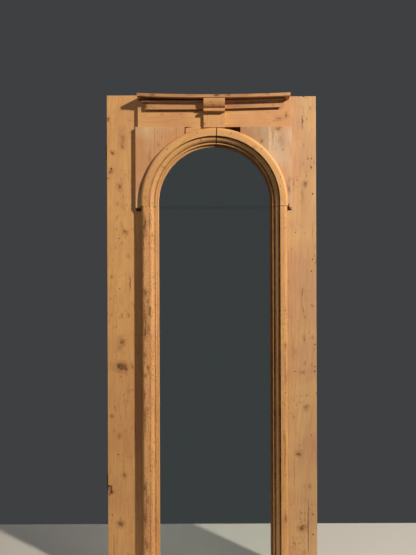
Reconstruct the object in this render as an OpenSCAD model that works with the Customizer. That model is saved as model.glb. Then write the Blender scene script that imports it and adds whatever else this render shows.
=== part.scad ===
// Arched pine door with its frame: two wide boards, a moulded arch with a keystone and a cornice,
// and a slender glazed leaf that swings back behind the arch.
// X runs to the right, Y to the back, Z up. The boards' middle plane is y = 0 and their feet z = 0.

/* [Boards] */
// Width over the two outer boards
overall_w = 900; // [840:10:1100]
// Height of the frame, to the top of the left board
overall_h = 2104; // [1750:1:2550]
// How much lower the right board ends
right_board_drop = 6; // [0:1:20]
// Thickness of the boards, the head rail and the threshold
board_t = 32; // [28:1:45]
// Rounding of the boards' long edges
board_edge_r = 2; // [1:0.5:4]

/* [Arch] */
// Distance of the arch's centre line from the middle of the frame, to the right
arch_x = 12; // [-40:1:40]
// Half width of the clear glass, and radius of its arch
sight_r = 239; // [190:1:290]
// Straight stretch below the arch's centre on each curved architrave
arch_foot = 18; // [5:1:40]
// Angle of the joint between the two halves, from the right-hand springing
crown_joint_deg = 88; // [80:1:100]
// Open gap between the two halves at the crown
crown_gap = 4; // [0.5:0.5:6]
// Open joint at the left springing
left_springing_gap = 0.8; // [0.2:0.2:4]
// Open joint at the right springing
right_springing_gap = 2; // [0.2:0.2:4]

/* [Architrave profile] */
// Strip of the leaf that shows inside the architrave
leaf_reveal = 9; // [4:0.5:16]
// Width of the inner bead
bead_w = 6.5; // [4:0.5:9]
// Height of the inner bead above the boards
bead_h = 12; // [9:0.5:16]
// Width of the quirk beside the bead
quirk_w = 2.5; // [2:0.5:6]
// Depth of that quirk below the bead
quirk_d = 1.5; // [0.5:0.5:4]
// Width of the ovolo
ovolo_w = 18; // [14:0.5:26]
// Height of the ovolo's high edge
ovolo_high_h = 28; // [24:0.5:35]
// Width of the groove between ovolo and face
groove_w = 4; // [3:0.5:7]
// Depth of that groove below the face
groove_d = 11; // [4:0.5:13]
// Width of the flat face on the arch
arch_face_w = 21.5; // [12:0.5:30]
// Width of the flat face on the straight sides
side_face_w = 16.5; // [10:0.5:25]
// Radius of the outer edge
outer_r = 15; // [6:0.5:18]
// Height of the face above the boards
architrave_h = 38; // [36:0.5:50]

/* [Head] */
// Thickness of the spandrel boards
spandrel_t = 18; // [15:0.5:25]
// Thickness of the frieze board
frieze_t = 15; // [12:0.5:22]
// Height of the frieze board
frieze_h = 111.5; // [90:0.5:135]
// How far the frieze runs past the arch at each end
frieze_past = 10.5; // [4:0.5:20]
// Drop of the cornice's underside below the left board's top
cornice_drop = 28.5; // [26:0.5:60]
// Thickness of the cornice's top board
cornice_top_t = 12.5; // [10:0.5:22]
// How far the top board reaches in front of the outer boards
cornice_reach = 64; // [58:1:80]
// Rise of the warped top board's two ends
cornice_bow = 7; // [4:1:14]
// Height of the cornice moulding
cornice_h = 36; // [30:1:46]
// Reach of the moulding's fillet in front of the frieze
cornice_fillet_p = 27; // [24:1:34]
// Reach of the moulding's low fascia in front of the frieze
cornice_fascia_p = 14; // [10:1:20]
// Drop of the left moulding below the top board
left_run_drop = 4; // [0.5:0.5:8]
// Drop of the loose right moulding below the top board at its inner end
right_run_drop = 1.5; // [0.5:0.5:4]
// Width of the keystone
keystone_w = 90; // [70:1:110]
// Height of the keystone's scroll
scroll_h = 37; // [28:1:44]

/* [Leaf] */
// Width of the leaf's stiles and curved head
leaf_stile_w = 51; // [44:1:56]
// Gap between the leaf's front and the back of the architrave
leaf_seat_gap = 0.5; // [0.3:0.1:2]
// Gap between the leaf and the frame all round
leaf_gap = 3; // [2:0.5:5]
// Height of the leaf's bottom rail
bottom_rail_h = 71; // [50:1:84]
// Width of the glazing rebate
rebate_w = 9; // [7:0.5:12]
// Depth of the upper pane's seat behind the leaf's front
seat_d = 12; // [9:0.5:12]
// Thickness of the glass
glass_t = 3; // [2:0.5:4]
// Overlap of the two panes at the springing
pane_lap = 13; // [6:1:20]
// Drop of the arched pane's lower edge below the arch's centre
pane_drop = 25; // [19:1:120]
// Thickness of the glazing beads, front to back
glazing_bead_t = 10; // [8:0.5:12]

/* [Foot] */
// Height of the threshold
threshold_h = 30; // [20:1:40]
// Height of the bottom stop board
stop_h = 45; // [42:1:70]
// Thickness of the bottom stop board
stop_t = 18; // [12:1:25]

/* [Hinges] */
// Height of the lower hinge's middle above the leaf's foot
hinge_rise = 217; // [120:1:400]
// Drop of the upper hinge's middle below the top of the leaf's stiles
hinge_drop = 147; // [100:1:400]
// Height of a hinge
hinge_h = 76; // [60:1:90]
// Width of a hinge plate let into the wood
hinge_plate_w = 24; // [18:1:26]
// Thickness of a hinge plate
hinge_plate_t = 2.4; // [2:0.1:2.4]
// Radius of the hinge knuckle
knuckle_r = 5; // [4.5:0.5:6]
// Radius of the hinge pin
hinge_pin_r = 2.5; // [2:0.1:3]
// Radial running clearance round the hinge pin
pin_clearance = 0.05; // [0.02:0.01:0.1]
// Gap between neighbouring knuckles
knuckle_gap = 0.3; // [0.2:0.05:0.6]

/* [Turn button] */
// Height of the turn button's pivot
button_z = 1000; // [700:1:1300]
// Length of the turn button
button_l = 62; // [50:1:80]
// Width of the turn button
button_w = 18; // [14:1:24]
// Thickness of the turn button
button_t = 8; // [6:0.5:12]
// Distance of its pivot from the right board's inner edge
button_inset = 18; // [14:1:24]

/* [Iron edge plates] */
// Height of the lower plate's middle above the foot
edge_plate_rise = 439; // [200:1:700]
// Drop of the upper plate's middle below the left board's top
edge_plate_drop = 242; // [120:1:500]
// Height of a plate
edge_plate_h = 63; // [50:1:80]
// Width of a plate
edge_plate_w = 24; // [16:1:26]
// Thickness of a plate
edge_plate_t = 4; // [3:0.5:6]

/* [Wall fixings] */
// Distance of the fixing holes from the boards' outer edges
fixing_inset = 19; // [14:1:40]
// Height of the lower fixing holes above the foot
fixing_rise = 300; // [150:1:420]
// Drop of the upper fixing holes below the left board's top
fixing_drop = 314; // [300:1:500]
// Radius of the fixing holes
fixing_r = 3; // [2:0.5:5]

/* [Hidden] */

// The boards' front and back planes
front = -board_t / 2;
back = board_t / 2;
left_edge = -overall_w / 2;
right_edge = overall_w / 2;
right_board_h = overall_h - right_board_drop;
cut = 400;

// Distances from the arch's centre line
leaf_r = sight_r + leaf_stile_w;
opening_r = leaf_r + leaf_gap;
architrave_in = sight_r + leaf_reveal;
bead_end = leaf_reveal + bead_w;
ovolo_start = bead_end + quirk_w;
ovolo_end = ovolo_start + ovolo_w;
face_start = ovolo_end + groove_w;
architrave_w = face_start + arch_face_w + outer_r;
architrave_r = sight_r + architrave_w;
nail_margin = 5.5;
nail_u = leaf_stile_w + leaf_gap + nail_margin;
lost_nail_u = ovolo_start + ovolo_w / 2;
ovolo_low_h = bead_h - quirk_d;
spandrel_gap = 0.5;
spandrel_r = architrave_r + spandrel_gap;

// Heights from the top down: cornice, frieze, arch
cornice_z = overall_h - cornice_drop;
frieze_z = cornice_z - frieze_h;
crown_room = 6.5;
arch_z = frieze_z - crown_room - architrave_r;
side_z = arch_z - arch_foot;
pane_joint_z = arch_z - pane_drop;

// The left and right jamb lines of the opening
jamb_left = arch_x - opening_r;
jamb_right = arch_x + opening_r;

// Head
head_rail_z = frieze_z - 94;
head_rail_top = cornice_z + 2;
block_foot_w = 5.8;
block_in = opening_r - block_foot_w;
block_z = arch_z + round(sqrt(opening_r * opening_r - block_in * block_in));
frieze_w = 2 * (architrave_r + frieze_past);
frieze_x = arch_x - frieze_w / 2;
cornice_x = arch_x - 2;
cornice_top_w = frieze_w - 7;
bow_r = (cornice_top_w * cornice_top_w / 4) / (2 * cornice_bow);
keystone_x = arch_x + 0.5;
keystone_low = arch_z + architrave_r + 1;
scroll_top = cornice_z - 0.5;
scroll_foot = scroll_top - scroll_h;
scroll_p = 46;
scroll_foot_p = 22;
keystone_face_p = 13;
keystone_fillet_p = 33;
fillet_high = scroll_foot - 4;
fillet_low = fillet_high - 10;
fascia_h = 20;
cove_h = 9;
left_run_z = cornice_z - cornice_h - left_run_drop;
right_run_z = cornice_z - cornice_h - right_run_drop;
cornice_left_end = frieze_x + 31;
cornice_right_end = frieze_x + frieze_w - 35;
right_run_start = keystone_x + keystone_w / 2;
right_run_end = cornice_right_end + cornice_fillet_p;
// the loose moulding leans up until it meets the bowed top board, less a hair
bow_a = cornice_bow / (cornice_top_w * cornice_top_w / 4);
bow_start = right_run_start - cornice_x;
bow_room = right_run_drop - 0.03;
bow_slope = bow_a * bow_start;
cornice_lean = 2 * bow_slope + 2 * sqrt(bow_slope * bow_slope + bow_a * bow_room);
cornice_tilt = atan(cornice_lean);

// Leaf
leaf_front = front + leaf_seat_gap;
leaf_t = back - leaf_front;
leaf_z = threshold_h + leaf_gap;
leaf_sight_z = leaf_z + bottom_rail_h;
pane_gap = 0.3;
upper_back_d = seat_d + glass_t;
lower_seat_d = upper_back_d + pane_gap;
glass_edge = 1;
bead_inset = 1;

// Hinges
hinge_low_z = leaf_z + hinge_rise;
hinge_high_z = pane_joint_z - hinge_drop;
hinge_heights = [hinge_low_z, (hinge_low_z + hinge_high_z) / 2, hinge_high_z];
hinge_x = jamb_left + leaf_gap / 2;
hinge_y = back + knuckle_r + 0.3;
plate_split = 0.1;
frame_plate_x = hinge_x - plate_split;
leaf_plate_x = hinge_x + plate_split;
segment_h = hinge_h / 5;
hinge_screw_r = 1.75;
hinge_screw_head_r = 3.6;
hinge_screw_head_t = 1.9;
hinge_screw_l = 20;
hinge_screw_pitch = 26;
screw_y = back - hinge_plate_w / 2;
fit = 0.02;
recess_fit = 0.1;

// Nails
nail_r = 1.5;
nail_head_r = 2.2;
nail_head_t = 1.5;
nail_set = 0.8;
nail_head_y = front - architrave_h + nail_set;
nail_clearance = 1.25;
nail_end_y = screw_y - hinge_screw_r - nail_clearance;
nail_rise = 130;
nail_pitch = 350;
nail_heights = [for (z = [nail_rise:nail_pitch:side_z - 40]) z];
nail_angles = [20, 48, 76];
lost_nail_heights = [417, 828, arch_z - 114];
lost_nail_r = 2.6;
lost_nail_d = 14;

// Iron edge plates and wall fixings
edge_plate_heights = [edge_plate_rise, overall_h - edge_plate_drop];
fixing_heights = [fixing_rise, overall_h - fixing_drop];

// Boundaries of the spandrel boards
spandrel_left = arch_x - architrave_r - 20.5;
left_joint = spandrel_left + 81.4;
inner_joint = spandrel_left + 175.3;
inner_end = spandrel_left + 209.5;
wedge_start = spandrel_left + 214;
wedge_end = keystone_x - keystone_w / 2;
spandrel_right = arch_x + architrave_r + 17;
right_joint = spandrel_right - 102.5;
right_start = spandrel_right - 219.9;
spandrel_foot = arch_z - 23;
board_joint = 0.6;

// Mortises left by lost impost blocks
mortise_d = 20;
pocket_h = 26;
mortise_z = arch_z - 37;

pine = "#c9975f";
pine_dark = "#b5804d";
iron = "#3a342f";
glass_tint = [0.72, 0.82, 0.78, 0.4];

// ---- helpers ----

// A block from x0 to x1 and z0 to z1 that stands between two heights above the boards' front
module plate(x0, x1, z0, z1, low, high) {
    translate([x0, front - high, z0]) cube([x1 - x0, high - low, z1 - z0]);
}

// A cylinder along +Y from y0 to y1
module y_pin(x, z, y0, y1, r) {
    translate([x, y0, z]) rotate([-90, 0, 0]) cylinder(h = y1 - y0, r = r, $fn = 48);
}

// What an arched opening of radius r takes away: a cylinder, and straight sides down to the feet
module arch_cut(r) {
    translate([arch_x, -cut / 2, arch_z]) rotate([-90, 0, 0]) cylinder(h = cut, r = r, $fn = 180);
    translate([arch_x - r, -cut / 2, 0]) cube([2 * r, cut, arch_z]);
}

// ---- architrave ----

// Points of the section with a flat face of width face_w: distance out from the glass, height to the front
function architrave_section(face_w) = concat(
    [[leaf_reveal, 0]],
    [for (a = [180:-22.5:90])
        [leaf_reveal + bead_w / 2 * (1 + cos(a)), bead_h - bead_w / 2 * (1 - sin(a))]],
    [for (a = [60:-30:0])
        [leaf_reveal + bead_w / 2 * (1 + cos(a)), bead_h - quirk_d * (1 - sin(a))]],
    [[ovolo_start, ovolo_low_h]],
    [for (t = [80:-10:0])
        [ovolo_end - ovolo_w * sin(t), ovolo_low_h + (ovolo_high_h - ovolo_low_h) * cos(t)]],
    [[ovolo_end, architrave_h - groove_d], [face_start, architrave_h - groove_d], [face_start, architrave_h]],
    [for (a = [90:-15:0])
        [face_start + face_w + outer_r * cos(a), architrave_h - outer_r * (1 - sin(a))]],
    [[face_start + face_w + outer_r, 0]]
);

// Straight architrave along Z on the left (-1) or right (1) side
module straight_architrave(side, z0, z1, face_w) {
    translate([arch_x, front, z0]) linear_extrude(height = z1 - z0)
        polygon([for (p = architrave_section(face_w)) [side * (sight_r + p[0]), -p[1]]]);
}

// A section swept round the arch from angle a0 to a1; its second coordinate is height to the front
module arch_sweep(points, a0, a1, y) {
    translate([arch_x, y, arch_z]) rotate([90, 0, 0]) rotate([0, 0, a0])
        rotate_extrude(angle = a1 - a0, $fn = 144) polygon(points);
}

// A nail on the Y axis through the architrave's face into the wood behind
module architrave_nail() {
    y_pin(0, 0, nail_head_y, nail_head_y + nail_head_t, nail_head_r);
    y_pin(0, 0, nail_head_y + nail_head_t, nail_end_y, nail_r);
}

module nail_hole() {
    y_pin(0, 0, nail_head_y - 2, nail_head_y + nail_head_t, nail_head_r + fit);
    y_pin(0, 0, nail_head_y + nail_head_t - 0.5, nail_end_y, nail_r + fit);
}

// A hole in the ovolo whose nail is lost
module lost_nail_hole() {
    y_pin(0, 0, front - architrave_h, front - architrave_h + lost_nail_d, lost_nail_r);
}

module each_side_nail(side) {
    for (z = nail_heights) {
        translate([arch_x + side * (sight_r + nail_u), 0, z]) children();
    }
}

module each_arch_nail(side) {
    for (a = nail_angles) {
        translate([arch_x + side * (sight_r + nail_u) * cos(a), 0, arch_z + (sight_r + nail_u) * sin(a)])
            children();
    }
}

module architrave_nails() {
    color(iron) {
        for (side = [-1, 1]) {
            each_side_nail(side) architrave_nail();
            each_arch_nail(side) architrave_nail();
        }
    }
}

// One half of the arched architrave, from its springing to the open joint at the crown
module arch_architrave(side) {
    turn = side < 0 ? 180 - crown_joint_deg : crown_joint_deg;
    section = [for (p = architrave_section(arch_face_w)) [sight_r + p[0], p[1]]];
    color(pine) difference() {
        union() {
            translate([arch_x, front, arch_z]) mirror([side < 0 ? 1 : 0, 0, 0]) rotate([90, 0, 0])
                rotate_extrude(angle = turn, $fn = 144) polygon(section);
            straight_architrave(side, side_z, arch_z, arch_face_w);
        }
        translate([arch_x, -cut / 2, arch_z]) rotate([0, 90 - crown_joint_deg, 0])
            translate([side < 0 ? -crown_gap / 2 : -1, 0, 0]) cube([1 + crown_gap / 2, cut, cut]);
        each_arch_nail(side) nail_hole();
    }
}

module arch_architrave_left() {
    arch_architrave(-1);
}

module arch_architrave_right() {
    arch_architrave(1);
}

module side_architrave_left() {
    worn_w = 9;
    worn_h = 130;
    color(pine) difference() {
        straight_architrave(-1, 0, side_z - left_springing_gap, side_face_w);
        // the inner edge is worn away below the springing
        translate([arch_x - architrave_in, front - architrave_h - 1, side_z - worn_h])
            rotate([0, -atan(worn_w / worn_h), 0]) cube([3 * worn_w, architrave_h + 2, 1.2 * worn_h]);
        each_side_nail(-1) nail_hole();
    }
}

module side_architrave_right() {
    color(pine) difference() {
        straight_architrave(1, 0, side_z - right_springing_gap, side_face_w);
        each_side_nail(1) nail_hole();
        for (z = lost_nail_heights) {
            translate([arch_x + sight_r + lost_nail_u, 0, z]) lost_nail_hole();
        }
    }
}

// ---- boards ----

// An upright board from x0 to x1 with rounded front edges
module upright_board(x0, x1, h) {
    r = board_edge_r;
    linear_extrude(height = h) polygon(concat(
        [[x0, back]],
        [for (a = [180:22.5:270]) [x0 + r + r * cos(a), front + r + r * sin(a)]],
        [for (a = [270:22.5:360]) [x1 - r + r * cos(a), front + r + r * sin(a)]],
        [[x1, back]]
    ));
}

module fixing_hole(x) {
    for (z = fixing_heights) {
        y_pin(x, z, front - 1, back + 1, fixing_r);
    }
}

module left_board() {
    color(pine) difference() {
        upright_board(left_edge, jamb_left, overall_h);
        fixing_hole(left_edge + fixing_inset);
        // a mortise left by the lost impost block
        plate(spandrel_left, arch_x - architrave_r + 8, mortise_z, mortise_z + 14, -mortise_d, 1);
        // the broken front edge near the foot
        translate([left_edge, front, 392]) linear_extrude(height = 36)
            polygon([[-1, -1], [20, -1], [16, 3], [8, 8], [-1, 10]]);
        translate([left_edge, front, 384]) linear_extrude(height = 20)
            polygon([[-1, -1], [11, -1], [6, 4], [-1, 6]]);
        each_side_nail(-1) nail_hole();
        for (z = hinge_heights) {
            frame_plate_recess(z);
            frame_screw_holes(z);
        }
        for (z = edge_plate_heights) {
            edge_screws(z, fit);
        }
    }
}

module right_board() {
    color(pine) difference() {
        upright_board(jamb_right, right_edge, right_board_h);
        fixing_hole(right_edge - fixing_inset);
        // an L-shaped mortise left by the lost impost block
        plate(arch_x + architrave_r - 8, spandrel_right, mortise_z + 3, mortise_z + 9, -mortise_d, 1);
        plate(arch_x + architrave_r - 8, arch_x + architrave_r + 4,
            mortise_z + 3, mortise_z + 28, -mortise_d, 1);
        // a chip out of the top edge
        translate([right_edge - 54, front, right_board_h]) rotate([45, 0, 0]) cube([9, 8, 8], center = true);
        each_side_nail(1) nail_hole();
        button_screw_hole();
    }
}

module head_rail() {
    color(pine_dark) difference() {
        translate([jamb_left, front, head_rail_z])
            cube([jamb_right - jamb_left, board_t, head_rail_top - head_rail_z]);
        // pockets behind the open gaps beside the keystone
        plate(wedge_end + keystone_w, right_start + 2, frieze_z - pocket_h, frieze_z + 2, -mortise_d, 1);
        plate(inner_end - 2, wedge_start + 4, frieze_z - pocket_h - 6, frieze_z - 1, -mortise_d, 1);
        arch_cut(opening_r);
        each_arch_nail(-1) nail_hole();
        each_arch_nail(1) nail_hole();
    }
}

module corner_block(side) {
    x0 = side < 0 ? jamb_left : arch_x;
    x1 = side < 0 ? arch_x : jamb_right;
    color(pine_dark) difference() {
        translate([x0, front, block_z]) cube([x1 - x0, board_t, head_rail_z - block_z]);
        arch_cut(opening_r);
        each_arch_nail(side) nail_hole();
    }
}

module left_corner_block() {
    corner_block(-1);
}

module right_corner_block() {
    corner_block(1);
}

module threshold() {
    color(pine_dark) translate([jamb_left, front, 0]) cube([jamb_right - jamb_left, board_t, threshold_h]);
}

module bottom_stop_board() {
    color(pine) plate(arch_x - architrave_in, arch_x + architrave_in, 0, stop_h, 0, stop_t);
}

// ---- head ----

module frieze_board() {
    color(pine) plate(frieze_x, frieze_x + frieze_w, frieze_z, frieze_z + frieze_h, 0, frieze_t);
}

// A spandrel board between x0 and x1, cut to the arch
module spandrel_board(x0, x1) {
    color(pine) difference() {
        plate(x0, x1, spandrel_foot, frieze_z, 0, spandrel_t);
        arch_cut(spandrel_r);
    }
}

module left_spandrel_outer() {
    spandrel_board(spandrel_left, left_joint - board_joint / 2);
}

module left_spandrel_middle() {
    spandrel_board(left_joint + board_joint / 2, inner_joint - board_joint / 2);
}

module left_spandrel_inner() {
    spandrel_board(inner_joint + board_joint / 2, inner_end);
}

module left_spandrel_wedge() {
    color(pine_dark) difference() {
        translate([0, front, 0]) rotate([90, 0, 0]) linear_extrude(height = spandrel_t - 1)
            polygon([
                [wedge_start, arch_z], [wedge_end, arch_z], [wedge_end, frieze_z],
                [wedge_start + 34, frieze_z], [wedge_start, frieze_z - 6]
            ]);
        arch_cut(spandrel_r);
    }
}

module right_spandrel_inner() {
    spandrel_board(right_start, right_joint - board_joint / 2);
}

module right_spandrel_outer() {
    color(pine) difference() {
        spandrel_board(right_joint + board_joint / 2, spandrel_right);
        // the foot's inner corner is broken off
        plate(arch_x + architrave_r - 2, arch_x + architrave_r + 5,
            spandrel_foot - 1, spandrel_foot + 16, -1, 30);
    }
}

// Section of the cornice moulding: reach in front of the frieze, height above the moulding's foot
function cornice_section() = concat(
    [[0, 0], [cornice_fascia_p, 0], [cornice_fascia_p, fascia_h]],
    [for (a = [10:10:80])
        [cornice_fillet_p - 2 - (cornice_fillet_p - 2 - cornice_fascia_p) * cos(a),
            fascia_h + cove_h * sin(a)]],
    [[cornice_fillet_p - 2, fascia_h + cove_h], [cornice_fillet_p, fascia_h + cove_h + 0.5]],
    [[cornice_fillet_p, cornice_h - 2], [cornice_fillet_p - 3, cornice_h], [0, cornice_h]]
);

// The moulding along X from x0 to x1, standing on z = 0
module cornice_run(x0, x1) {
    translate([x0, front - frieze_t, 0]) rotate([90, 0, 90]) linear_extrude(height = x1 - x0)
        polygon([for (p = cornice_section()) [-p[0], p[1]]]);
}

module cornice_moulding_left() {
    x0 = cornice_left_end - cornice_fillet_p;
    x1 = keystone_x - keystone_w / 2;
    color(pine) difference() {
        translate([0, 0, left_run_z]) cornice_run(x0, x1);
        // the mitre whose return is lost
        translate([cornice_left_end + cornice_fascia_p, front - frieze_t, left_run_z - 1])
            rotate([0, 0, 45]) translate([-60, 0, 0]) cube([120, 60, cornice_h + 2]);
    }
}

module cornice_moulding_right() {
    color(pine) translate([right_run_start, 0, right_run_z]) rotate([0, -cornice_tilt, 0])
        translate([-right_run_start, 0, 0]) difference() {
            cornice_run(right_run_start + cornice_h * tan(cornice_tilt), right_run_end);
            translate([cornice_right_end - cornice_fascia_p, front - frieze_t, -1]) rotate([0, 0, -45])
                translate([-60, 0, 0]) cube([120, 60, cornice_h + 2]);
        }
}

module cornice_top_board() {
    color(pine) translate([cornice_x, front, 0]) rotate([90, 0, 0]) linear_extrude(height = cornice_reach)
        intersection() {
            difference() {
                translate([0, cornice_z + bow_r]) circle(r = bow_r, $fn = 1440);
                translate([0, cornice_z + bow_r]) circle(r = bow_r - cornice_top_t, $fn = 1440);
            }
            translate([-cornice_top_w / 2, cornice_z - 1])
                square([cornice_top_w, cornice_top_t + cornice_bow + 2]);
        }
}

// Section of the keystone: reach in front of the frieze, height
function keystone_section() = concat(
    [[0, keystone_low], [keystone_face_p, keystone_low], [keystone_face_p, fillet_low - 5]],
    [for (a = [15:15:90])
        [keystone_fillet_p - (keystone_fillet_p - keystone_face_p) * cos(a), fillet_low - 5 + 5 * sin(a)]],
    [[keystone_fillet_p, fillet_high], [scroll_foot_p - 2, fillet_high], [scroll_foot_p - 2, scroll_foot]],
    [for (a = [90:-10:0])
        [scroll_foot_p + (scroll_p - scroll_foot_p) * cos(a), scroll_top - scroll_h * sin(a)]],
    [[0, scroll_top]]
);

module keystone() {
    color(pine) translate([keystone_x - keystone_w / 2, front - frieze_t, 0]) rotate([90, 0, 90])
        linear_extrude(height = keystone_w)
            polygon([for (p = keystone_section()) [-p[0], p[1]]]);
}

// ---- leaf ----

// Section of the curved head: distance from the centre, depth behind the leaf's front
function head_section() = [
    [sight_r + 2, 0], [leaf_r, 0], [leaf_r, leaf_t], [sight_r + rebate_w, leaf_t],
    [sight_r + rebate_w, seat_d], [sight_r, seat_d], [sight_r, 2]
];

function stile_section() = [
    [sight_r + 2, 0], [leaf_r, 0], [leaf_r, leaf_t], [sight_r + rebate_w, leaf_t],
    [sight_r + rebate_w, lower_seat_d], [sight_r, lower_seat_d], [sight_r, 2]
];

// A section carried straight up from z0 to z1 beside the arch
module leaf_run(points, side, z0, z1) {
    translate([arch_x, leaf_front, z0]) linear_extrude(height = z1 - z0)
        polygon([for (p = points) [side * p[0], p[1]]]);
}

module leaf_head(side) {
    a0 = side < 0 ? 90 : 0;
    color(pine_dark) union() {
        arch_sweep([for (p = head_section()) [p[0], -p[1]]], a0, a0 + 90, leaf_front);
        leaf_run(head_section(), side, pane_joint_z, arch_z);
    }
}

module leaf_head_left() {
    leaf_head(-1);
}

module leaf_head_right() {
    leaf_head(1);
}

module leaf_stile_left() {
    color(pine_dark) difference() {
        leaf_run(stile_section(), -1, leaf_z, pane_joint_z);
        for (z = hinge_heights) {
            leaf_plate_recess(z);
            leaf_screw_holes(z);
        }
    }
}

module leaf_stile_right() {
    color(pine_dark) leaf_run(stile_section(), 1, leaf_z, pane_joint_z);
}

module leaf_bottom_rail() {
    seat_r = sight_r + rebate_w;
    color(pine_dark) union() {
        translate([arch_x - sight_r, leaf_front, leaf_z]) cube([2 * sight_r, lower_seat_d, bottom_rail_h]);
        translate([arch_x - seat_r, leaf_front + lower_seat_d, leaf_z])
            cube([2 * seat_r, leaf_t - lower_seat_d, bottom_rail_h - rebate_w]);
    }
}

module upper_pane() {
    r = sight_r + rebate_w - glass_edge;
    color(glass_tint) translate([0, leaf_front + upper_back_d, 0]) rotate([90, 0, 0])
        linear_extrude(height = glass_t) {
            difference() {
                translate([arch_x, arch_z]) circle(r = r, $fn = 180);
                translate([arch_x - r - 1, arch_z - r - 1]) square([2 * r + 2, r + 1]);
            }
            translate([arch_x - r, pane_joint_z]) square([2 * r, arch_z - pane_joint_z]);
        }
}

module lower_pane() {
    r = sight_r + rebate_w - glass_edge;
    color(glass_tint) translate([arch_x - r, leaf_front + lower_seat_d, leaf_sight_z - rebate_w + glass_edge])
        cube([2 * r, glass_t, pane_joint_z + pane_lap - leaf_sight_z + rebate_w - glass_edge]);
}

// Section of a glazing bead: distance from the centre, depth behind the leaf's front
function bead_section(d) = concat(
    [[sight_r + rebate_w, d], [sight_r + bead_inset, d], [sight_r + bead_inset, d + 2]],
    [for (a = [15:15:90])
        [sight_r + bead_inset + (rebate_w - bead_inset - 1) * (1 - cos(a)),
            d + 2 + (glazing_bead_t - 2) * sin(a)]],
    [[sight_r + rebate_w, d + glazing_bead_t]]
);

module arch_bead(side) {
    a0 = side < 0 ? 90 : 0;
    color(pine_dark) union() {
        arch_sweep([for (p = bead_section(upper_back_d)) [p[0], -p[1]]], a0, a0 + 90, leaf_front);
        leaf_run(bead_section(upper_back_d), side, pane_joint_z + pane_lap, arch_z);
    }
}

module arch_bead_left() {
    arch_bead(-1);
}

module arch_bead_right() {
    arch_bead(1);
}

module side_bead(side) {
    color(pine_dark)
        leaf_run(bead_section(lower_seat_d + glass_t), side,
            leaf_sight_z - bead_inset, pane_joint_z + pane_lap);
}

module side_bead_left() {
    side_bead(-1);
}

module side_bead_right() {
    side_bead(1);
}

module bottom_bead() {
    r = sight_r + rebate_w;
    z1 = leaf_sight_z + sight_r;
    color(pine_dark) translate([arch_x - r, leaf_front, 0]) rotate([90, 0, 90]) linear_extrude(height = 2 * r)
        polygon([for (p = bead_section(lower_seat_d + glass_t)) [p[1], z1 - p[0]]]);
}

// ---- hinges ----

function screw_heights(z) = [z - hinge_screw_pitch, z, z + hinge_screw_pitch];

// A countersunk screw along X whose head is flush at x; way is the direction of its point
module countersunk_screw(x, y, z, way, spare) {
    translate([x, y, z]) rotate([0, way * 90, 0]) {
        cylinder(h = hinge_screw_head_t,
            r1 = hinge_screw_head_r + spare, r2 = hinge_screw_r + spare, $fn = 36);
        cylinder(h = hinge_screw_l, r = hinge_screw_r + spare, $fn = 36);
    }
}

module frame_screw_holes(z) {
    for (s = screw_heights(z)) {
        countersunk_screw(frame_plate_x, screw_y, s, -1, fit);
    }
}

module leaf_screw_holes(z) {
    for (s = screw_heights(z)) {
        countersunk_screw(leaf_plate_x, screw_y, s, 1, fit);
    }
}

module frame_plate_recess(z) {
    y0 = back - hinge_plate_w - recess_fit;
    translate([frame_plate_x - hinge_plate_t, y0, z - hinge_h / 2 - recess_fit])
        cube([hinge_plate_t + 2, hinge_plate_w + 2, hinge_h + 2 * recess_fit]);
}

module leaf_plate_recess(z) {
    translate([leaf_plate_x - 2, back - hinge_plate_w - recess_fit, z - hinge_h / 2 - recess_fit])
        cube([hinge_plate_t + 2, hinge_plate_w + 2, hinge_h + 2 * recess_fit]);
}

// Knuckles number first, first + 2 and so on, each with the tab that joins it to its plate
module knuckles(z, first, x0) {
    for (i = [first:2:4]) {
        low = z - hinge_h / 2 + i * segment_h + (i > 0 ? knuckle_gap / 2 : 0);
        high = z - hinge_h / 2 + (i + 1) * segment_h - (i < 4 ? knuckle_gap / 2 : 0);
        translate([hinge_x, hinge_y, low]) cylinder(h = high - low, r = knuckle_r, $fn = 48);
        translate([x0, back - 1, low]) cube([hinge_plate_t, hinge_y - back + 1, high - low]);
    }
}

module hinge_plate(z, side) {
    x0 = side < 0 ? frame_plate_x - hinge_plate_t : leaf_plate_x;
    color(iron) difference() {
        union() {
            translate([x0, back - hinge_plate_w, z - hinge_h / 2])
                cube([hinge_plate_t, hinge_plate_w, hinge_h]);
            knuckles(z, side < 0 ? 0 : 1, x0);
        }
        translate([hinge_x, hinge_y, z - hinge_h])
            cylinder(h = 2 * hinge_h, r = hinge_pin_r + pin_clearance, $fn = 48);
        if (side < 0) {
            frame_screw_holes(z);
        } else {
            leaf_screw_holes(z);
        }
    }
}

module hinge_pin(z) {
    head_t = 2;
    color(iron) translate([hinge_x, hinge_y, z]) {
        translate([0, 0, -hinge_h / 2]) cylinder(h = hinge_h, r = hinge_pin_r, $fn = 48);
        translate([0, 0, hinge_h / 2]) cylinder(h = head_t, r = knuckle_r - 0.5, $fn = 48);
        translate([0, 0, -hinge_h / 2 - head_t]) cylinder(h = head_t, r = knuckle_r - 0.5, $fn = 48);
    }
}

module frame_hinge_screws() {
    color(iron) for (z = hinge_heights) {
        for (s = screw_heights(z)) {
            countersunk_screw(frame_plate_x, screw_y, s, -1, 0);
        }
    }
}

module leaf_hinge_screws() {
    color(iron) for (z = hinge_heights) {
        for (s = screw_heights(z)) {
            countersunk_screw(leaf_plate_x, screw_y, s, 1, 0);
        }
    }
}

// ---- turn button ----

button_x = jamb_right + button_inset;
button_gap = 0.4;
button_screw_r = 2.5;
button_head_r = 5;

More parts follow.
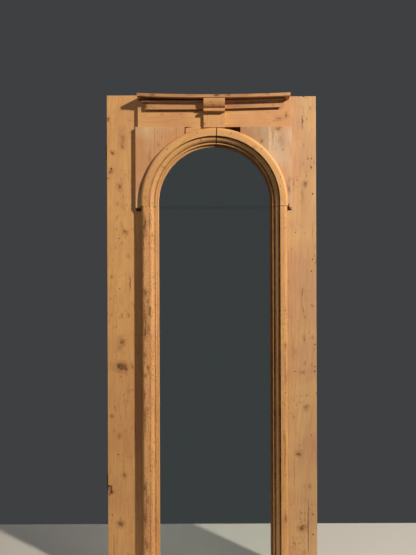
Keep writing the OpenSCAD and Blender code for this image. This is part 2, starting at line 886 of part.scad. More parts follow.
module turn_button() {
    straight = button_l - button_w;
    y0 = back + button_gap;
    color(pine_dark) difference() {
        union() {
            translate([button_x - button_w / 2, y0, button_z - straight / 2])
                cube([button_w, button_t, straight]);
            for (z = [button_z - straight / 2, button_z + straight / 2]) {
                y_pin(button_x, z, y0, y0 + button_t, button_w / 2);
            }
        }
        y_pin(button_x, button_z, y0 - 1, y0 + button_t + 1, button_screw_r + pin_clearance);
    }
}

module turn_button_screw() {
    head_y = back + button_gap + button_t + 0.2;
    color(iron) {
        y_pin(button_x, button_z, back - 22, head_y, button_screw_r);
        y_pin(button_x, button_z, head_y, head_y + 2.5, button_head_r);
    }
}

module button_screw_hole() {
    y_pin(button_x, button_z, back - 22, back + 1, button_screw_r + fit);
}

// ---- iron edge plates ----

module edge_screws(z, spare) {
    for (s = [z - 18, z + 18]) {
        countersunk_screw(left_edge - edge_plate_t, 0, s, 1, spare);
    }
}

module edge_plate(z) {
    color(iron) difference() {
        translate([left_edge - edge_plate_t, -edge_plate_w / 2, z - edge_plate_h / 2])
            cube([edge_plate_t, edge_plate_w, edge_plate_h]);
        edge_screws(z, fit);
    }
}

module edge_plate_lower() {
    edge_plate(edge_plate_heights[0]);
}

module edge_plate_upper() {
    edge_plate(edge_plate_heights[1]);
}

module edge_plate_screws() {
    color(iron) for (z = edge_plate_heights) {
        edge_screws(z, 0);
    }
}

left_board();
right_board();
head_rail();
left_corner_block();
right_corner_block();
threshold();
bottom_stop_board();
frieze_board();
left_spandrel_outer();
left_spandrel_middle();
left_spandrel_inner();
left_spandrel_wedge();
right_spandrel_inner();
right_spandrel_outer();
arch_architrave_left();
arch_architrave_right();
side_architrave_left();
side_architrave_right();
cornice_top_board();
cornice_moulding_left();
cornice_moulding_right();
keystone();
edge_plate_lower();
edge_plate_upper();
edge_plate_screws();
architrave_nails();
leaf_stile_left();
leaf_stile_right();
leaf_head_left();
leaf_head_right();
leaf_bottom_rail();
upper_pane();
lower_pane();
arch_bead_left();
arch_bead_right();
side_bead_left();
side_bead_right();
bottom_bead();
hinge_plate(hinge_heights[0], -1);  // lower_hinge_frame_plate
hinge_plate(hinge_heights[0], 1);  // lower_hinge_leaf_plate
hinge_pin(hinge_heights[0]);  // lower_hinge_pin
hinge_plate(hinge_heights[1], -1);  // middle_hinge_frame_plate
hinge_plate(hinge_heights[1], 1);  // middle_hinge_leaf_plate
hinge_pin(hinge_heights[1]);  // middle_hinge_pin
hinge_plate(hinge_heights[2], -1);  // upper_hinge_frame_plate
hinge_plate(hinge_heights[2], 1);  // upper_hinge_leaf_plate
hinge_pin(hinge_heights[2]);  // upper_hinge_pin
frame_hinge_screws();
leaf_hinge_screws();
turn_button();
turn_button_screw();
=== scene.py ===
import math
import random
import bpy
import bmesh
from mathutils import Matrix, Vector


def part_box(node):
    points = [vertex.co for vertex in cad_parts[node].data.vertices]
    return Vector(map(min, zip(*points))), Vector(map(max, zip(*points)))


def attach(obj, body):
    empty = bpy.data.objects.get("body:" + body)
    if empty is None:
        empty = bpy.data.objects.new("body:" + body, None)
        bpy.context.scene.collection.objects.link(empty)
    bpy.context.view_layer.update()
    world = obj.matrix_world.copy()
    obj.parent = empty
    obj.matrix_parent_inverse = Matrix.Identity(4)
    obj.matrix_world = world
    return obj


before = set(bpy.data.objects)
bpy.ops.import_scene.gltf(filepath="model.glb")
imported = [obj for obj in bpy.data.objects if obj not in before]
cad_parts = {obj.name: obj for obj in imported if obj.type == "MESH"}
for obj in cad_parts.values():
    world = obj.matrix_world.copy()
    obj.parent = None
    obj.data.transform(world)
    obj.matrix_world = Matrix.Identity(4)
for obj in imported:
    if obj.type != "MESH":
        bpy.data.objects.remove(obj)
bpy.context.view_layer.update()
print("frame loaded:", len(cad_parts), "nodes")


# small helpers

def linearColour(hexValue):  # sRGB hex to the linear values that the shader sockets take
    channels = [int(hexValue[i:i + 2], 16) / 255 for i in (1, 3, 5)]
    return tuple(c / 12.92 if c <= 0.04045 else ((c + 0.055) / 1.055) ** 2.4 for c in channels) + (1.0,)


def addNode(tree, kind, inputs=None, **settings):
    node = tree.nodes.new(kind)
    for key, value in settings.items():
        setattr(node, key, value)
    for key, value in (inputs or {}).items():
        if isinstance(value, bpy.types.NodeSocket):
            tree.links.new(value, node.inputs[key])
        else:
            node.inputs[key].default_value = value
    return node


def startMaterial(name):
    material = bpy.data.materials.new(name)
    material.use_nodes = True
    material.node_tree.nodes.clear()
    return material, material.node_tree


def addPiece(name, mesh, material, body):
    piece = bpy.data.objects.new(name, mesh)
    bpy.context.scene.collection.objects.link(piece)
    mesh.materials.append(material)
    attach(piece, body)
    return piece


def nodeBox(name):
    low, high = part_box(name)
    return Vector(low), Vector(high)


# the arch's centre and radii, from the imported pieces
archLeftLow, archLeftHigh = nodeBox("arch_architrave_left")
archRightHigh = nodeBox("arch_architrave_right")[1]
archX = (archLeftLow.x + archRightHigh.x) / 2
archOuterR = (archRightHigh.x - archLeftLow.x) / 2
archZ = archLeftHigh.z - archOuterR

# widths across the architrave in millimetres, from the glass outwards
profile = {"reveal": 9, "bead": 6.5, "quirk": 2.5, "ovolo": 18, "groove": 4, "face": 21.5, "edge": 15}
profileWidth = sum(profile.values()) / 1000
sightR = archOuterR - profileWidth


# stripped pine
# Old Baltic pine, dipped to take off its paint and waxed: honey earlywood, redder latewood lines,
# a dry broken sheen, dark knots with a red-brown halo, and painted shade darkening the quirks and edges of
# the mouldings.

pine = {
    "honey": "#d49e60",
    "pale": "#e0b074",
    "pink": "#cd976a",
    "latewood": "#a96e35",
    "fibre": "#8f5f36",
    "halo": "#8a5530",
    "knot": "#341d0e",
    # colour of the painted shade in the moulding quirks and along the outer edge
    "dirt": "#3a220f",
    "ringMm": 9.0,       # real rings are 2 to 4 mm apart; drawn wider so that they show
    "fibreMm": 1.6,
    "streakMm": 38,
    "blotchMm": 190,
    "fleckMm": 9,        # small resin marks and bruises, drawn out along the grain
    "fleckStrength": 0.55,
    "pitMm": 3.5,        # beetle and scraper pits; real ones are 1 to 2 mm, drawn coarser so that they show
    "pitStrength": 0.0,
    "ringStrength": 0.13,
    "streakStrength": 0.6,
    "pinkStrength": 0.5,
    # how strongly the painted shade darkens the moulding quirks and outer edge
    "dirtStrength": 0.3,
    "roughness": 0.5,
    "bumpMm": 0.5,
    "turn": 0,           # degrees the grain leans from the upright
    "lean": 1.6,         # degrees the log leans in the board, which draws the cathedral points
    "pith": (0.0, 0.06), # the log's heart, sideways and behind the face, in metres
    "seed": 0.0,
    "knots": [],
}


def strippedPine(name, **changes):
    look = dict(pine, **changes)
    material, tree = startMaterial(name)
    place = addNode(tree, "ShaderNodeTexCoord").outputs["Object"]

    # knots: ellipses with a wavering edge; each is x, z, half width, half height in mm and strength
    wobble = addNode(tree, "ShaderNodeTexNoise", {"Vector": place, "Scale": 42.0, "Detail": 5.0,
                                                 "Roughness": 0.62}).outputs["Color"]
    wobble = addNode(tree, "ShaderNodeVectorMath", {0: wobble, 1: (-0.5, -0.5, -0.5)}).outputs[0]
    knotPlace = addNode(tree, "ShaderNodeVectorMath", {0: wobble, 1: (0.03, 0.0, 0.042), 2: place},
                        operation="MULTIPLY_ADD").outputs[0]
    halo = core = None
    for x, z, halfWidth, halfHeight, strength in look["knots"]:
        across, up = 1000 / halfWidth, 1000 / halfHeight
        local = addNode(tree, "ShaderNodeVectorMath",
                        {0: knotPlace, 1: (across, 0, up), 2: (-x / halfWidth, 0, -z / halfHeight)},
                        operation="MULTIPLY_ADD").outputs[0]
        far = addNode(tree, "ShaderNodeVectorMath", {0: local}, operation="LENGTH").outputs["Value"]
        soft = addNode(tree, "ShaderNodeMapRange", {0: far, 1: 1.9, 2: 0.1, 3: 0.0, 4: strength},
                       interpolation_type="SMOOTHSTEP").outputs[0]
        hard = addNode(tree, "ShaderNodeMapRange", {0: far, 1: 0.8, 2: 0.15, 3: 0.0, 4: strength},
                       interpolation_type="SMOOTHSTEP").outputs[0]
        if halo is None:
            halo, core = soft, hard
        else:
            halo = addNode(tree, "ShaderNodeMath", {0: halo, 1: soft}, operation="MAXIMUM").outputs[0]
            core = addNode(tree, "ShaderNodeMath", {0: core, 1: hard}, operation="MAXIMUM").outputs[0]

    # the grain's own coordinates: upright along the fibres, the log's heart at the origin
    turned = addNode(tree, "ShaderNodeMapping",
                     {"Vector": place,
                      "Rotation": (math.radians(look["lean"]), math.radians(look["turn"]), 0),
                      "Location": (-look["pith"][0], -look["pith"][1], look["seed"])}).outputs[0]
    sway = addNode(tree, "ShaderNodeMapping", {"Vector": turned, "Scale": (1, 1, 0.25)}).outputs[0]
    sway = addNode(tree, "ShaderNodeTexNoise", {"Vector": sway, "Scale": 6.0, "Detail": 2.0}).outputs["Color"]
    turned = addNode(tree, "ShaderNodeVectorMath", {0: sway, 1: (0.03, 0.03, 0.0), 2: turned},
                     operation="MULTIPLY_ADD").outputs[0]
    if halo is not None:  # the grain flows round the knots
        push = addNode(tree, "ShaderNodeMath", {0: halo, 1: 0.018}, operation="MULTIPLY").outputs[0]
        push = addNode(tree, "ShaderNodeCombineXYZ", {0: push, 1: push}).outputs[0]
        turned = addNode(tree, "ShaderNodeVectorMath", {0: turned, 1: push}).outputs[0]
    longGrain = addNode(tree, "ShaderNodeMapping", {"Vector": turned, "Scale": (1, 1, 0.07)}).outputs[0]
    fineGrain = addNode(tree, "ShaderNodeMapping", {"Vector": turned, "Scale": (1, 1, 0.025)}).outputs[0]

    rings = addNode(tree, "ShaderNodeTexWave",
                    {"Vector": longGrain, "Scale": 314.16 / look["ringMm"], "Distortion": 2.4,
                     "Detail": 2.0, "Detail Scale": 1.2},
                    wave_type="RINGS", rings_direction="Z").outputs["Fac"]
    rings = addNode(tree, "ShaderNodeMath", {0: rings, 1: 2.2}, operation="POWER").outputs[0]
    fibres = addNode(tree, "ShaderNodeTexNoise",
                     {"Vector": fineGrain, "Scale": 1000 / look["fibreMm"] / 2, "Detail": 3.0,
                      "Roughness": 0.65}).outputs["Fac"]
    streaks = addNode(tree, "ShaderNodeTexNoise",
                      {"Vector": longGrain, "Scale": 1000 / look["streakMm"], "Detail": 4.0,
                       "Roughness": 0.6}).outputs["Fac"]
    blotches = addNode(tree, "ShaderNodeTexNoise",
                       {"Vector": turned, "Scale": 1000 / look["blotchMm"], "Detail": 2.0}).outputs["Fac"]

    streakMask = addNode(tree, "ShaderNodeMapRange", {0: streaks, 1: 0.35, 2: 0.68, 3: 0.0,
                                                      4: look["streakStrength"]}).outputs[0]
    pinkMask = addNode(tree, "ShaderNodeMapRange", {0: blotches, 1: 0.4, 2: 0.62, 3: 0.0,
                                                    4: look["pinkStrength"]}).outputs[0]
    ringMask = addNode(tree, "ShaderNodeMath", {0: rings, 1: look["ringStrength"]},
                       operation="MULTIPLY").outputs[0]
    fibreMask = addNode(tree, "ShaderNodeMapRange", {0: fibres, 1: 0.5, 2: 0.8, 3: 0.0, 4: 0.45}).outputs[0]

    # flecks come in drifts, pits lie close together on the worn mouldings
    fleckPlace = addNode(tree, "ShaderNodeMapping", {"Vector": turned, "Scale": (1, 1, 0.4)}).outputs[0]
    flecks = addNode(tree, "ShaderNodeTexNoise", {"Vector": fleckPlace, "Scale": 1000 / look["fleckMm"],
                                                  "Detail": 4.0, "Roughness": 0.6}).outputs["Fac"]
    drifts = addNode(tree, "ShaderNodeTexNoise",
                     {"Vector": place, "Scale": 9.0, "Detail": 2.0}).outputs["Fac"]
    flecks = addNode(tree, "ShaderNodeMath", {0: drifts, 1: 0.35, 2: flecks},
                     operation="MULTIPLY_ADD").outputs[0]
    fleckMask = addNode(tree, "ShaderNodeMapRange", {0: flecks, 1: 0.79, 2: 0.92, 3: 0.0,
                                                     4: look["fleckStrength"]}).outputs[0]
    pits = addNode(tree, "ShaderNodeTexNoise", {"Vector": fleckPlace, "Scale": 1000 / look["pitMm"],
                                                "Detail": 2.0}).outputs["Fac"]
    pits = addNode(tree, "ShaderNodeMath", {0: drifts, 1: 0.3, 2: pits}, operation="MULTIPLY_ADD").outputs[0]
    pitMask = addNode(tree, "ShaderNodeMapRange", {0: pits, 1: 0.68, 2: 0.8, 3: 0.0,
                                                   4: look["pitStrength"]}).outputs[0]

    colour = linearColour(look["pale"])
    for mask, tone in ((streakMask, "honey"), (pinkMask, "pink"), (ringMask, "latewood"),
                       (fibreMask, "fibre"), (fleckMask, "halo"), (pitMask, "halo")):
        colour = addNode(tree, "ShaderNodeMix", {0: mask, 6: colour, 7: linearColour(look[tone])},
                         data_type="RGBA").outputs[2]
    height = addNode(tree, "ShaderNodeMath", {0: fibres, 1: 0.5, 2: ringMask},
                     operation="MULTIPLY_ADD").outputs[0]
    height = addNode(tree, "ShaderNodeMath", {0: pitMask, 1: -2.5, 2: height},
                     operation="MULTIPLY_ADD").outputs[0]
    if halo is not None:
        haloMask = addNode(tree, "ShaderNodeMath", {0: halo, 1: 0.75}, operation="MULTIPLY").outputs[0]
        colour = addNode(tree, "ShaderNodeMix", {0: haloMask, 6: colour, 7: linearColour(look["halo"])},
                         data_type="RGBA").outputs[2]
        # a knot's dark heart is broken up by its own small rings
        speckle = addNode(tree, "ShaderNodeTexNoise",
                          {"Vector": place, "Scale": 130.0, "Detail": 3.0}).outputs["Fac"]
        speckle = addNode(tree, "ShaderNodeMapRange",
                          {0: speckle, 1: 0.62, 2: 0.42, 3: 0.35, 4: 1.0}).outputs[0]
        coreMask = addNode(tree, "ShaderNodeMath", {0: core, 1: speckle}, operation="MULTIPLY").outputs[0]
        colour = addNode(tree, "ShaderNodeMix", {0: coreMask, 6: colour, 7: linearColour(look["knot"])},
                         data_type="RGBA").outputs[2]
        height = addNode(tree, "ShaderNodeMath", {0: core, 1: -0.6, 2: height},
                         operation="MULTIPLY_ADD").outputs[0]

    # painted shade in the quirks and at the moulding's outer edge: darkening that follows the distance out
    # from the glass, round the arch and down the sides
    parts = addNode(tree, "ShaderNodeSeparateXYZ", {0: place})
    across = addNode(tree, "ShaderNodeMath", {0: parts.outputs[0], 1: archX}, operation="SUBTRACT").outputs[0]
    above = addNode(tree, "ShaderNodeMath", {0: parts.outputs[2], 1: archZ}, operation="SUBTRACT").outputs[0]
    above = addNode(tree, "ShaderNodeMath", {0: above, 1: 0.0}, operation="MAXIMUM").outputs[0]
    outward = addNode(tree, "ShaderNodeCombineXYZ", {0: across, 1: above}).outputs[0]
    outward = addNode(tree, "ShaderNodeVectorMath", {0: outward}, operation="LENGTH").outputs["Value"]
    outward = addNode(tree, "ShaderNodeMapRange", {0: outward, 1: sightR, 2: sightR + 0.1}).outputs[0]
    ramp = addNode(tree, "ShaderNodeValToRGB", {0: outward})
    edges = []
    reach = 0
    for part in profile:
        edges.append(reach)
        reach += profile[part]
    stops = [(edges[1] + 0.8, 0.55), (edges[1] + 2, 0.0), (edges[2] - 1.2, 0.1), (edges[2] - 0.3, 0.9),
             (edges[3] + 0.3, 0.9), (edges[3] + 2, 0.3), (edges[3] + 5, 0.0), (edges[4] - 0.8, 0.0),
             (edges[4] + 0.2, 0.95), (edges[5] - 0.4, 0.85), (edges[5] + 0.8, 0.1), (edges[5] + 4, 0.0),
             (reach - 4, 0.0), (reach - 0.5, 0.45), (reach + 1.2, 0.75), (reach + 4.5, 0.0)]
    while len(ramp.color_ramp.elements) < len(stops):
        ramp.color_ramp.elements.new(1.0)
    for element, (spot, amount) in zip(ramp.color_ramp.elements, stops):
        element.position = spot / 100
        element.color = (amount, amount, amount, 1)
    patchy = addNode(tree, "ShaderNodeTexNoise",
                     {"Vector": place, "Scale": 38.0, "Detail": 4.0}).outputs["Fac"]
    patchy = addNode(tree, "ShaderNodeMapRange", {0: patchy, 1: 0.3, 2: 0.6, 3: 0.35,
                                                  4: 1.0}).outputs[0]
    # mask of the painted shade in the quirks, mixed into the wood colour below
    dirtMask = addNode(tree, "ShaderNodeMath", {0: ramp.outputs[0], 1: patchy},
                       operation="MULTIPLY").outputs[0]
    dirtMask = addNode(tree, "ShaderNodeMath", {0: dirtMask, 1: look["dirtStrength"]},
                       operation="MULTIPLY").outputs[0]
    colour = addNode(tree, "ShaderNodeMix", {0: dirtMask, 6: colour, 7: linearColour(look["dirt"])},
                     data_type="RGBA").outputs[2]

    rough = addNode(tree, "ShaderNodeMapRange", {0: fibres, 1: 0.3, 2: 0.8, 3: look["roughness"] - 0.06,
                                                 4: look["roughness"] + 0.16}).outputs[0]
    bump = addNode(tree, "ShaderNodeBump", {"Height": height, "Strength": 0.8,
                                            "Distance": look["bumpMm"] / 1000}).outputs[0]
    shader = addNode(tree, "ShaderNodeBsdfPrincipled",
                     {"Base Color": colour, "Roughness": rough, "Normal": bump, "IOR": 1.5})
    addNode(tree, "ShaderNodeOutputMaterial", {0: shader.outputs[0]})
    return material


# knots and stains of each board: x and z of the middle, half width, half height, strength
leftBoardKnots = [
    (-445, 1999, 6, 9, 0.8), (-348, 1999, 10, 14, 0.25), (-423, 1861, 10, 10, 0.9),
    (-382, 1912, 16, 46, 0.35), (-384, 1881, 12, 12, 0.5), (-433, 1780, 12, 14, 0.65),
    (-445, 1748, 12, 7, 0.5), (-398, 1710, 11, 14, 0.55), (-407, 1638, 5, 7, 0.45), (-407, 1578, 5, 8, 0.3),
    (-373, 1514, 16, 16, 0.5), (-388, 1466, 6, 10, 0.35), (-358, 1409, 7, 10, 0.4),
    (-430, 1325, 7, 10, 0.4), (-360, 1161, 6, 10, 0.5), (-386, 1157, 5, 11, 0.45),
    (-388, 1043, 17, 20, 0.6), (-395, 1019, 14, 16, 0.3), (-390, 938, 30, 20, 0.75),
    (-399, 941, 17, 11, 1.0), (-372, 930, 12, 20, 0.9), (-343, 937, 5, 20, 0.45), (-392, 899, 6, 7, 0.5),
    (-352, 1294, 3, 34, 0.6), (-417, 760, 5, 6, 0.6), (-431, 727, 8, 8, 0.6), (-400, 640, 12, 14, 0.4),
    (-380, 470, 10, 18, 0.5), (-436, 405, 12, 10, 0.7), (-395, 262, 16, 14, 0.8), (-360, 120, 10, 14, 0.5),
]
rightBoardKnots = [
    (394, 2001, 5, 8, 0.4), (424, 2044, 7, 9, 0.35), (395, 1997, 3, 34, 0.55), (404, 1722, 12, 15, 0.7),
    (391, 1668, 8, 50, 0.3), (391, 1255, 3, 16, 0.6), (328, 1306, 4, 6, 0.5), (390, 1180, 5, 20, 0.45),
    (432, 1198, 8, 9, 0.45), (400, 1150, 6, 8, 0.4), (398, 1057, 5, 18, 0.5), (430, 1060, 7, 7, 0.4),
    (390, 910, 14, 9, 0.45), (399, 950, 5, 8, 0.4), (420, 1086, 6, 8, 0.3), (350, 1000, 8, 60, 0.2),
    (405, 760, 12, 16, 0.45), (372, 560, 14, 16, 0.7), (420, 420, 8, 14, 0.5), (385, 240, 18, 14, 0.8),
]
spandrelKnots = [
    (213, 1905, 9, 10, 0.75), (283, 1957, 20, 18, 0.5), (276, 1868, 4, 4, 0.8), (330, 1697, 9, 26, 0.75),
    (334, 1733, 8, 12, 0.5), (262, 1935, 4, 50, 0.35), (-225, 1890, 8, 12, 0.25), (-262, 1840, 8, 60, 0.25),
    (300, 1900, 26, 40, 0.25), (-300, 1700, 6, 60, 0.2),
]
architraveKnots = [
    (-283, 1545, 9, 40, 0.85), (-262, 1560, 5, 22, 0.6), (-254, 1507, 5, 10, 0.5), (-287, 1500, 9, 22, 0.5),
    (-282, 1255, 10, 16, 0.75), (-272, 1225, 7, 22, 0.5), (-284, 1150, 10, 34, 0.6),
    (-266, 1170, 7, 34, 0.45), (-283, 1085, 8, 26, 0.75), (-270, 1100, 6, 28, 0.5), (-284, 990, 8, 20, 0.5),
    (-272, 938, 7, 9, 0.7), (-284, 905, 8, 8, 0.55), (-286, 820, 6, 20, 0.55), (-284, 730, 8, 40, 0.4),
    (-284, 430, 9, 30, 0.7), (-276, 380, 8, 26, 0.5), (-284, 300, 9, 40, 0.7), (-280, 190, 8, 30, 0.7),
    (-284, 90, 8, 26, 0.5), (312, 1030, 7, 14, 0.6), (314, 890, 6, 30, 0.35), (305, 640, 7, 24, 0.4),
    (310, 300, 8, 24, 0.6),
]
# the dark patch at x -281, z 2046 is painted shade on the broken left mitre of the moulding, not a knot
corniceKnots = [
    (20, 2082, 14, 8, 0.9), (72, 2083, 10, 7, 0.8), (-250, 2088, 16, 6, 0.5), (230, 2090, 14, 6, 0.5),
    (-281, 2046, 9, 24, 0.85), (-292, 2078, 12, 10, 0.7), (312, 2062, 12, 16, 0.7), (150, 2086, 22, 5, 0.4),
    (-90, 2084, 26, 4, 0.4), (-40, 2040, 30, 4, 0.35), (110, 2050, 40, 4, 0.3),
]
leftBoardPine = strippedPine("waxedPineLeftBoard", knots=leftBoardKnots, pith=(-0.36, 0.07), seed=0.3)
rightBoardPine = strippedPine("waxedPineRightBoard", knots=rightBoardKnots, pith=(0.45, 0.09), seed=1.7,
                              fleckStrength=0.8, pinkStrength=0.85,
                              honey="#c99d6a", pale="#d5b07f", pink="#c49774", latewood="#a06e3a")
spandrelPine = strippedPine("waxedPineSpandrels", knots=spandrelKnots, pith=(0.1, 0.2), seed=2.3,
                            pinkStrength=0.95, honey="#cba276", pale="#dab98f")
spandrelBrownPine = strippedPine("waxedPineSpandrelBrown", knots=spandrelKnots, pith=(0.2, 0.12), seed=8.1,
                                 pinkStrength=0.9, streakMm=24,
                                 honey="#b69673", pale="#c3ab8c", pink="#ad815e")
spandrelPalePine = strippedPine("waxedPineSpandrelPale", knots=spandrelKnots, pith=(0.34, 0.2), seed=2.9,
                                pinkStrength=0.8, honey="#cba988", pale="#dac1a4")
friezePine = strippedPine("waxedPineFrieze", turn=90, pith=(-1.98, 0.08), seed=0.9, pinkStrength=0.8,
                          knots=[(290, 1998, 16, 9, 0.5), (322, 2012, 9, 12, 0.5), (40, 1985, 30, 4, 0.3)])
cornicePine = strippedPine("waxedPineCornice", turn=90, pith=(-2.06, 0.02), seed=3.9, streakMm=26,
                           honey="#b98a5c", pale="#cb9b6b", pink="#a27254", dirt="#2b180b",
                           knots=corniceKnots)
# the right-hand arch and architrave pieces carry much stronger painted shade in their quirks than the
# left-hand ones, because their profiles turn away from the key light
archLeftPine = strippedPine("waxedPineArchLeft", turn=-45, pith=(0.9, 0.1), seed=0.4,
                            knots=[(-44, 1908, 3, 3, 1.0), (-205, 1790, 16, 8, 0.3)], dirtStrength=0.5)
archRightPine = strippedPine("waxedPineArchRight", turn=45, pith=(-1.3, 0.1), seed=1.2,
                             knots=[(180, 1870, 12, 8, 0.25), (212, 1775, 14, 10, 0.2)], dirtStrength=1.0)
sideLeftPine = strippedPine("waxedPineArchitraveLeft", knots=architraveKnots, pith=(-0.1, 0.3), seed=4.4,
                            streakMm=16, streakStrength=0.9, dirtStrength=0.2, pitStrength=0.5, bumpMm=0.8,
                            honey="#dfa566", pale="#edbc80", pink="#d59c6c")
sideRightPine = strippedPine("waxedPineArchitraveRight", knots=architraveKnots, pith=(-0.1, 0.3), seed=9.4,
                             streakMm=18, streakStrength=0.8, dirtStrength=1.0, pitStrength=0.3)
keystonePine = strippedPine("waxedPineKeystone", pith=(0.02, 0.15), seed=5.1, streakMm=24,
                            knots=[(5, 2048, 4, 4, 0.9), (-30, 1975, 8, 10, 0.3)])
leafPine = strippedPine("waxedPineLeaf", pith=(0.2, 0.2), seed=6.3, streakMm=20, dirtStrength=0.1)
# a darker copy of the leaf pine with more painted shade, for the right stile and head, which lie in the
# shadow of the right architrave
leafRightShadedPine = strippedPine("waxedPineLeafRightPaintedShade", pith=(0.2, 0.2), seed=7.1, streakMm=20, dirtStrength=0.5,
                             honey="#a3723f", pale="#b0814c", pink="#996a43")
# the two large dark patches near the top of the head rail, at x 92 and -112, are painted shade in the pockets
# behind the spandrel gaps, not knots
hiddenPine = strippedPine("barePineBacking", honey="#b98a58", pale="#c89b68", pink="#ae8160", turn=90,
                          pith=(-1.9, 0.1), seed=7.7, roughness=0.62,
                          knots=[(92, 1952, 60, 22, 1.0), (-112, 1948, 14, 26, 1.0)])
print("pine made")

# forged iron
# Hand-forged iron that has rusted and been wiped: near black, brown where the rust holds, dull.
iron = {"dark": "#2e2a27", "rust": "#5d3c27", "rustMm": 7, "roughness": 0.55, "pitMm": 0.25}


def forgedIron(name):
    material, tree = startMaterial(name)
    place = addNode(tree, "ShaderNodeTexCoord").outputs["Object"]
    patches = addNode(tree, "ShaderNodeTexNoise", {"Vector": place, "Scale": 1000 / iron["rustMm"] / 2,
                                                   "Detail": 5.0, "Roughness": 0.65}).outputs["Fac"]
    rustMask = addNode(tree, "ShaderNodeMapRange", {0: patches, 1: 0.45, 2: 0.62}).outputs[0]
    colour = addNode(tree, "ShaderNodeMix",
                     {0: rustMask, 6: linearColour(iron["dark"]), 7: linearColour(iron["rust"])},
                     data_type="RGBA").outputs[2]
    metal = addNode(tree, "ShaderNodeMapRange", {0: rustMask, 3: 0.9, 4: 0.1}).outputs[0]
    rough = addNode(tree, "ShaderNodeMapRange", {0: rustMask, 3: iron["roughness"] - 0.12,
                                                 4: iron["roughness"] + 0.3}).outputs[0]
    bump = addNode(tree, "ShaderNodeBump", {"Height": patches, "Strength": 0.7,
                                            "Distance": iron["pitMm"] / 1000}).outputs[0]
    shader = addNode(tree, "ShaderNodeBsdfPrincipled",
                     {"Base Color": colour, "Metallic": metal, "Roughness": rough, "Normal": bump})
    addNode(tree, "ShaderNodeOutputMaterial", {0: shader.outputs[0]})
    return material


rustyIron = forgedIron("forgedIronRusted")

# drawn sheet glass
# Old drawn window glass: a little green, with the long soft waves of the drawing.
glass = {"tint": "#eaf3f0", "waveMm": 90, "waveDepthMm": 0.25, "roughness": 0.03}


def drawnGlass(name):
    material, tree = startMaterial(name)
    place = addNode(tree, "ShaderNodeTexCoord").outputs["Object"]
    drawn = addNode(tree, "ShaderNodeMapping", {"Vector": place, "Scale": (1, 0, 0.3)}).outputs[0]
    waves = addNode(tree, "ShaderNodeTexNoise", {"Vector": drawn, "Scale": 1000 / glass["waveMm"],
                                                 "Detail": 1.0}).outputs["Fac"]
    bump = addNode(tree, "ShaderNodeBump", {"Height": waves, "Strength": 0.5,
                                            "Distance": glass["waveDepthMm"] / 1000}).outputs[0]
    shader = addNode(tree, "ShaderNodeBsdfPrincipled",
                     {"Base Color": linearColour(glass["tint"]), "Roughness": glass["roughness"], "IOR": 1.52,
                      "Transmission Weight": 1.0, "Normal": bump})
    addNode(tree, "ShaderNodeOutputMaterial", {0: shader.outputs[0]})
    return material


windowGlass = drawnGlass("drawnSheetGlass")

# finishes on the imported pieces
finishes = {
    "left_board": leftBoardPine, "right_board": rightBoardPine,
    "head_rail": hiddenPine, "left_corner_block": hiddenPine, "right_corner_block": hiddenPine,
    "threshold": hiddenPine, "bottom_stop_board": friezePine, "frieze_board": friezePine,
    "left_spandrel_outer": spandrelPine, "left_spandrel_middle": spandrelPine,
    "left_spandrel_inner": spandrelPine, "left_spandrel_wedge": friezePine,
    "right_spandrel_inner": spandrelBrownPine, "right_spandrel_outer": spandrelPalePine,
    "arch_architrave_left": archLeftPine, "arch_architrave_right": archRightPine,
    "side_architrave_left": sideLeftPine, "side_architrave_right": sideRightPine,
    "cornice_top_board": cornicePine, "cornice_moulding_left": cornicePine,
    "cornice_moulding_right": cornicePine, "keystone": keystonePine, "turn_button": leafPine,
    "leaf_stile_right": leafRightShadedPine, "leaf_head_right": leafRightShadedPine,
    "upper_pane": windowGlass, "lower_pane": windowGlass,
}
for nodeName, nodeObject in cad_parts.items():
    finish = finishes.get(nodeName)
    if finish is None:
        woody = nodeName.startswith("leaf_") and "screws" not in nodeName or "bead" in nodeName
        finish = leafPine if woody else rustyIron
    for materialSlot in nodeObject.material_slots:
        materialSlot.material = finish
print("finishes set")

# small marks on the old wood
# Iron nail heads hammered almost flush, drying cracks, crumbs of white filler and torn fibres at the
# broken mitres.
random.seed(11)
frameFaceY = {name: nodeBox(name)[0].y for name in ("left_board", "right_board", "frieze_board", "keystone",
                                                    "cornice_moulding_left", "right_spandrel_outer",
                                                    "side_architrave_left", "side_architrave_right")}


def plainMaterial(name, base, roughness, speckMm):
    material, tree = startMaterial(name)
    place = addNode(tree, "ShaderNodeTexCoord").outputs["Object"]
    specks = addNode(tree, "ShaderNodeTexNoise", {"Vector": place, "Scale": 1000 / speckMm,
                                                  "Detail": 3.0}).outputs["Fac"]
    dark = tuple(0.6 * c for c in linearColour(base)[:3]) + (1.0,)
    colour = addNode(tree, "ShaderNodeMix", {0: specks, 6: linearColour(base), 7: dark},
                     data_type="RGBA").outputs[2]
    bump = addNode(tree, "ShaderNodeBump", {"Height": specks, "Strength": 0.6, "Distance": 0.0002}).outputs[0]
    shader = addNode(tree, "ShaderNodeBsdfPrincipled",
                     {"Base Color": colour, "Roughness": roughness, "Normal": bump, "IOR": 1.5})
    addNode(tree, "ShaderNodeOutputMaterial", {0: shader.outputs[0]})
    return material


crackDark = plainMaterial("dirtPackedInCracks", "#2a180c", 0.95, 1.5)
chalkFiller = plainMaterial("chalkFiller", "#ddcfb6", 0.9, 2)
tornPine = plainMaterial("tornPineFibres", "#8a5c35", 0.9, 3)


domeRings = ((1.0, 0.0), (0.8, 0.65), (0.42, 0.92))  # share of the radius and of the height


